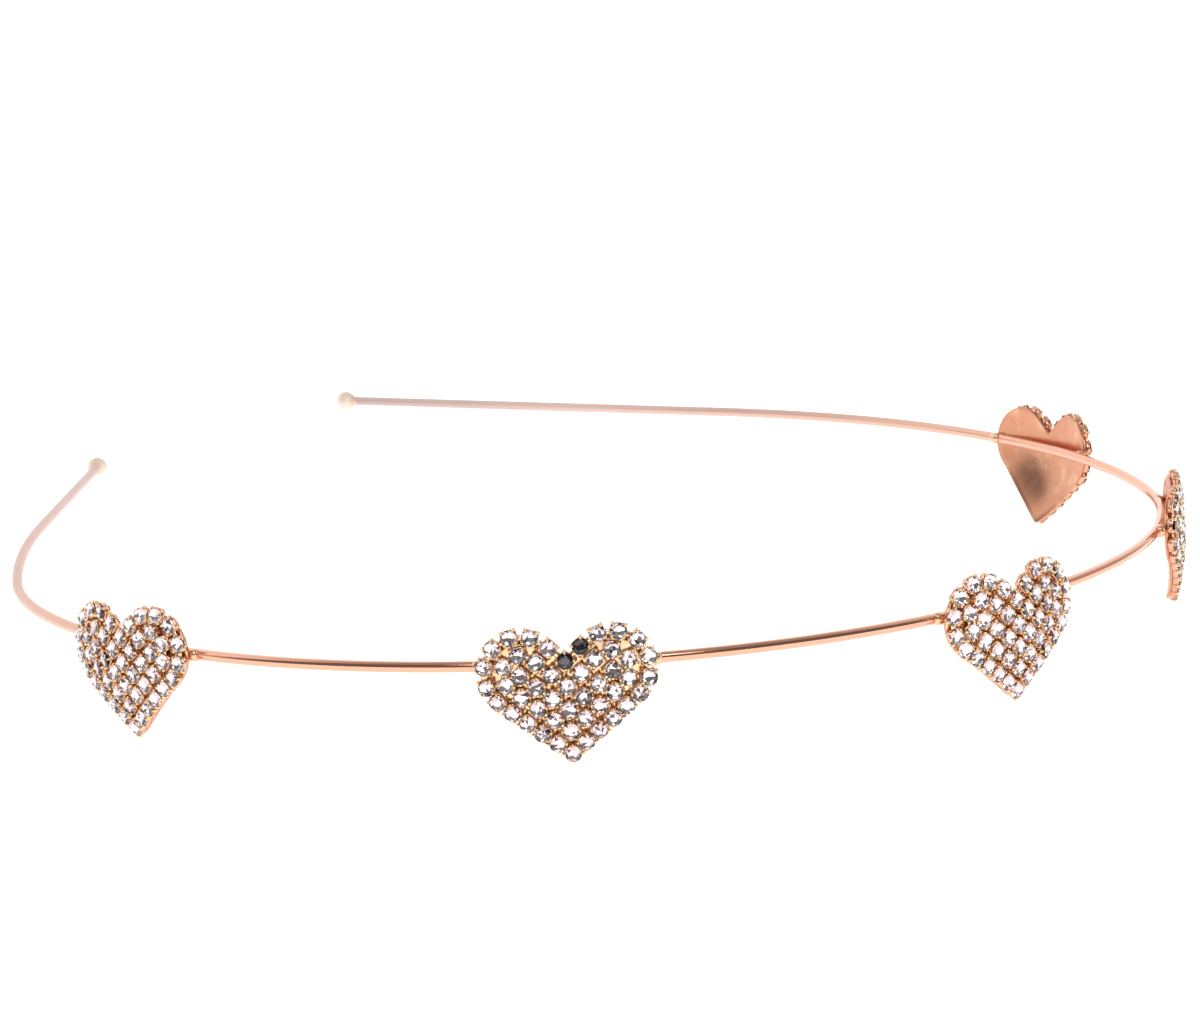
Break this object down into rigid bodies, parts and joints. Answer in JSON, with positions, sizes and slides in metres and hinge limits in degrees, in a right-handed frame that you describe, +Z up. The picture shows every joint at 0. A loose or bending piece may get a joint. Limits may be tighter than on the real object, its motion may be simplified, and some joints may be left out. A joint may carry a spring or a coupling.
{
  "type": "heart headband",
  "caption": "Open sprung wire headband in rose-gold metal with ball ends, carrying domed hearts paved with round cut clear stones.",
  "frame": {"origin": "on the surface that the hearts' tips stand on, under the middle of the whole part's box", "axes": "+Z up from that surface, -Y towards the middle heart, +X towards the heart at the end of the longer straight leg"},
  "size_m": [0.1328, 0.163, 0.0142],
  "materials": {
    "rose_gold": "polished rose-gold plating",
    "rhinestone": "clear foiled cut stones in gold claws"
  },
  "bodies": {
    "root": {"band": "rose_gold", "heart_stones_1": "rhinestone", "heart_stones_2": "rhinestone", "heart_stones_3": "rhinestone", "heart_stones_4": "rhinestone", "heart_stones_5": "rhinestone"}
  },
  "joints": []
}
